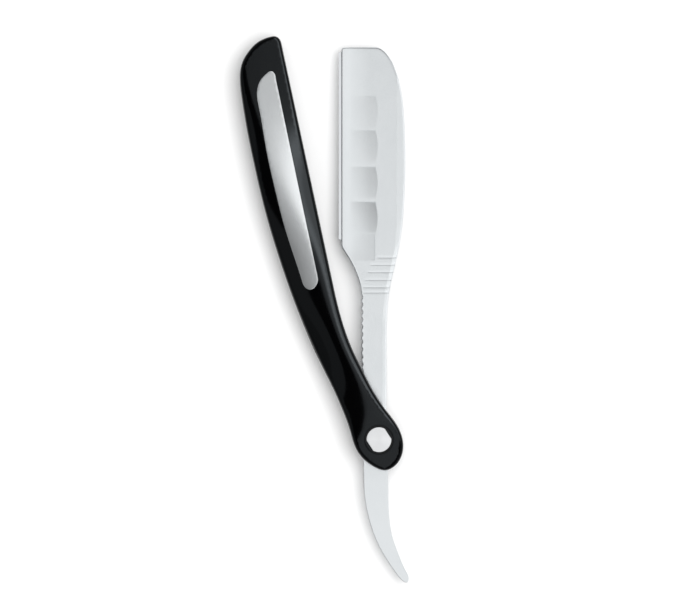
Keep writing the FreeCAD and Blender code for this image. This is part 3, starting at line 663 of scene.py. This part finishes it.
def moulded(name, low, high, rough):
    """Small plastic pieces with a fine moulded texture."""
    material, tree, shader = new_material(name)
    grain = noise(tree, object_coordinates(tree), 7.0, 3.0, 0.6)
    tree.links.new(tint(tree, grain, low, high), shader.inputs["Base Color"])
    tree.links.new(ramp(tree, grain, rough, rough + 0.15), shader.inputs["Roughness"])
    bump(tree, grain, shader, 0.15, 0.02)
    return material


def dress(material, *pieces):
    """Give CAD nodes, by name, or new pieces a finished material."""
    for piece in pieces:
        data = bpy.data.objects[piece].data if isinstance(piece, str) else piece.data
        if not data.materials:
            data.materials.append(material)
        for index in range(len(data.materials)):
            data.materials[index] = material


front_shell, back_shell, inlay = make_front_scale(), make_back_scale(), make_inlay()
pivot_head, jaw_shell, spring = make_pivot_head(), make_jaw(), make_spring()
dress(gloss_plastic(), front_shell, back_shell)
dress(moulded("satin_black_spacer", (0.006, 0.006, 0.007), (0.012, 0.012, 0.013), 0.35), "end_spacer")
dress(brushed_aluminium(), inlay)
dress(turned_steel(), pivot_head)
dress(satin_steel("satin_steel_jaw"), jaw_shell)
dress(satin_steel("satin_steel_body", 0.4), "holder_body")
dress(plain_metal("polished_blade", (0.60, 0.62, 0.64), (0.66, 0.68, 0.70), 0.16), "blade")
dress(plain_metal("screw_steel", (0.55, 0.56, 0.58), (0.68, 0.69, 0.70), 0.28), "pivot_screw", "end_screw",
      "stop_post", "jaw_hinge_pin", "spring_rivet", "upper_peg", "lower_peg")
dress(plain_metal("spring_steel", (0.30, 0.31, 0.34), (0.42, 0.43, 0.46), 0.30), spring)
dress(plain_metal("brass", (0.62, 0.45, 0.20), (0.74, 0.56, 0.28), 0.25), "eye_bush", "end_insert")
dress(moulded("nylon_washer", (0.70, 0.69, 0.65), (0.78, 0.77, 0.73), 0.45), "front_washer", "back_washer")


# ---------------------------------------------------------------- stage

def floor():
    mesh = bpy.data.meshes.new("floor")
    half, height = 3.0, cad_bounds[0][2] - FLOOR_GAP
    corners = [(x, y, height) for x, y in ((-half, -half), (half, -half), (half, half), (-half, half))]
    mesh.from_pydata(corners, [], [(0, 1, 2, 3)])
    plane = bpy.data.objects.new("floor", mesh)
    bpy.context.scene.collection.objects.link(plane)
    material, tree, shader = new_material("paper_floor")
    shader.inputs["Base Color"].default_value = (0.9, 0.9, 0.9, 1.0)
    shader.inputs["Roughness"].default_value = 0.9
    mesh.materials.append(material)


# Middle of the object along Y, which the panels are set around
CENTRE_Y = 0.04
# Slightly cool light on the handle and its plate
TINTS = {"gloss_lit": (0.88, 0.97, 1.03), "inlay_lit": (0.975, 0.995, 1.005)}


def panel(name, middle, size, radiance, lights, yaw=0.0):
    """Soft panel that faces straight down. Radiance is its brightness; only the pieces in lights see it."""
    data = bpy.data.lights.new(name, "AREA")
    data.shape = "RECTANGLE"
    data.size, data.size_y = size
    data.energy = radiance * math.pi * size[0] * size[1]
    data.color = TINTS.get(lights.name, (1.0, 1.0, 1.0)) if lights else (1.0, 1.0, 1.0)
    light = bpy.data.objects.new(name, data)
    light.location = middle
    light.rotation_euler = (0.0, 0.0, yaw)
    bpy.context.scene.collection.objects.link(light)
    if lights:
        light.light_linking.receiver_collection = lights
    return light


def world():
    """Pale surroundings that the floor and the camera see; reflections come from the panels alone."""
    sky = bpy.data.worlds.new("studio")
    sky.use_nodes = True
    sky.node_tree.nodes["Background"].inputs["Color"].default_value = (1.0, 1.0, 1.0, 1.0)
    sky.node_tree.nodes["Background"].inputs["Strength"].default_value = 0.72
    bpy.context.scene.world = sky
    sky.cycles_visibility.glossy = False


def camera():
    """Straight above, looking down, with the head towards the top of the frame."""
    data = bpy.data.cameras.new("camera")
    data.lens = 250.0
    data.sensor_width = 36.0
    view_width = 0.210
    height = view_width * data.lens / data.sensor_width
    eye = bpy.data.objects.new("camera", data)
    eye.location = (-8.67 * MM, 40.3 * MM, 6.0 * MM + height)
    eye.rotation_euler = (0.0, 0.0, 0.0)
    data.clip_start = 0.01
    bpy.context.scene.collection.objects.link(eye)
    bpy.context.scene.camera = eye


def group(name, pieces):
    collection = bpy.data.collections.new(name)
    for piece in pieces:
        collection.objects.link(piece)
    return collection


def strip(name, low, high, radiance, lights, span=(-1.0, 1.0), z=3.0, yaw=0.0):
    """Panel over a span of reflection slopes; a slope is sideways run over height. Yaw turns it in plan."""
    across, along, turn = (low + high) * z / 2, (span[0] + span[1]) * z / 2, math.radians(yaw)
    x = across * math.cos(turn) - along * math.sin(turn)
    y = CENTRE_Y + across * math.sin(turn) + along * math.cos(turn)
    panel(name, (x, y, z), ((high - low) * z, (span[1] - span[0]) * z), radiance, lights, turn)


def wall(name, azimuth, radiance, lights, reach=1.6, rise=(0.02, 1.5)):
    """Upright soft panel beside the object, facing it."""
    turn = math.radians(azimuth)
    middle = Vector((reach * math.sin(turn), CENTRE_Y - reach * math.cos(turn), (rise[0] + rise[1]) / 2))
    light = panel(name, middle, (2 * reach, rise[1] - rise[0]), radiance, lights)
    light.rotation_euler = (Vector((0.0, CENTRE_Y, middle.z)) - middle).to_track_quat("-Z", "Y").to_euler()


floor()
world()
camera()
gloss = group("gloss_lit", [front_shell, back_shell, bpy.data.objects["end_spacer"]])
plate = group("inlay_lit", [inlay])
disc = group("pivot_lit", [pivot_head])
elsewhere = ("front_scale", "back_scale", "inlay_plate", "end_spacer", "pivot_post", "clamp_jaw",
             "leaf_spring")
steel = [node for name, node in frame["nodes"].items() if name not in elsewhere]
metal = group("metal_lit", [jaw_shell, spring] + steel)
for low, high, radiance in ((-0.9, -0.5, 0.12), (-0.5, -0.235, 0.18), (-0.045, -0.03, 0.40),
                            (-0.03, -0.015, 0.48), (-0.015, 0.02, 0.58), (0.02, 0.035, 0.85),
                            (0.36, 1.2, 0.2)):
    strip(f"gloss_{low}", low, high, radiance, gloss)
for low, high, radiance in ((0.035, 0.05, 1.4), (0.05, 0.07, 2.0), (0.07, 0.13, 2.5), (0.13, 0.17, 2.0),
                            (0.17, 0.36, 1.4)):
    strip(f"gloss_{low}", low, high, radiance, gloss, span=(0.0, 1.0))
for low, high, radiance in ((-0.9, -0.2, 0.28), (-0.2, -0.13, 0.38), (-0.13, -0.09, 0.48),
                            (-0.09, -0.05, 0.42), (-0.05, 0.0, 0.56), (0.0, 0.05, 1.0), (0.05, 0.4, 1.42)):
    strip(f"inlay_{low}", low, high, radiance, plate)
for low, high, radiance in ((-0.8, -0.26, 1.26), (-0.26, -0.12, 1.18), (-0.12, 0.05, 1.13),
                            (0.05, 0.14, 1.04), (0.14, 0.36, 0.68)):
    strip(f"metal_{low}", low, high, radiance, metal, yaw=45)
strip("metal_spine", 0.40, 1.5, 0.95, metal, span=(-0.6, 0.4), z=2.0)
for low, high, radiance in ((-0.9, -0.06, 0.9), (-0.06, 0.06, 1.22), (0.06, 0.9, 1.12)):
    strip(f"disc_{low}", low, high, radiance, disc)
for azimuth, radiance in ((0, 0.5), (90, 1.2), (180, 0.3), (270, 0.25)):
    wall(f"gloss_wall_{azimuth}", azimuth, 0.2, gloss)
    wall(f"metal_wall_{azimuth}", azimuth, radiance, metal)
    wall(f"inlay_wall_{azimuth}", azimuth, 0.6, plate)
    wall(f"disc_wall_{azimuth}", azimuth, 0.7, disc)
key = panel("key", (0.27, 0.14, 0.9), (0.76, 0.76), 4.2, None)
key.visible_glossy = False
bpy.context.scene.view_settings.view_transform = "Standard"
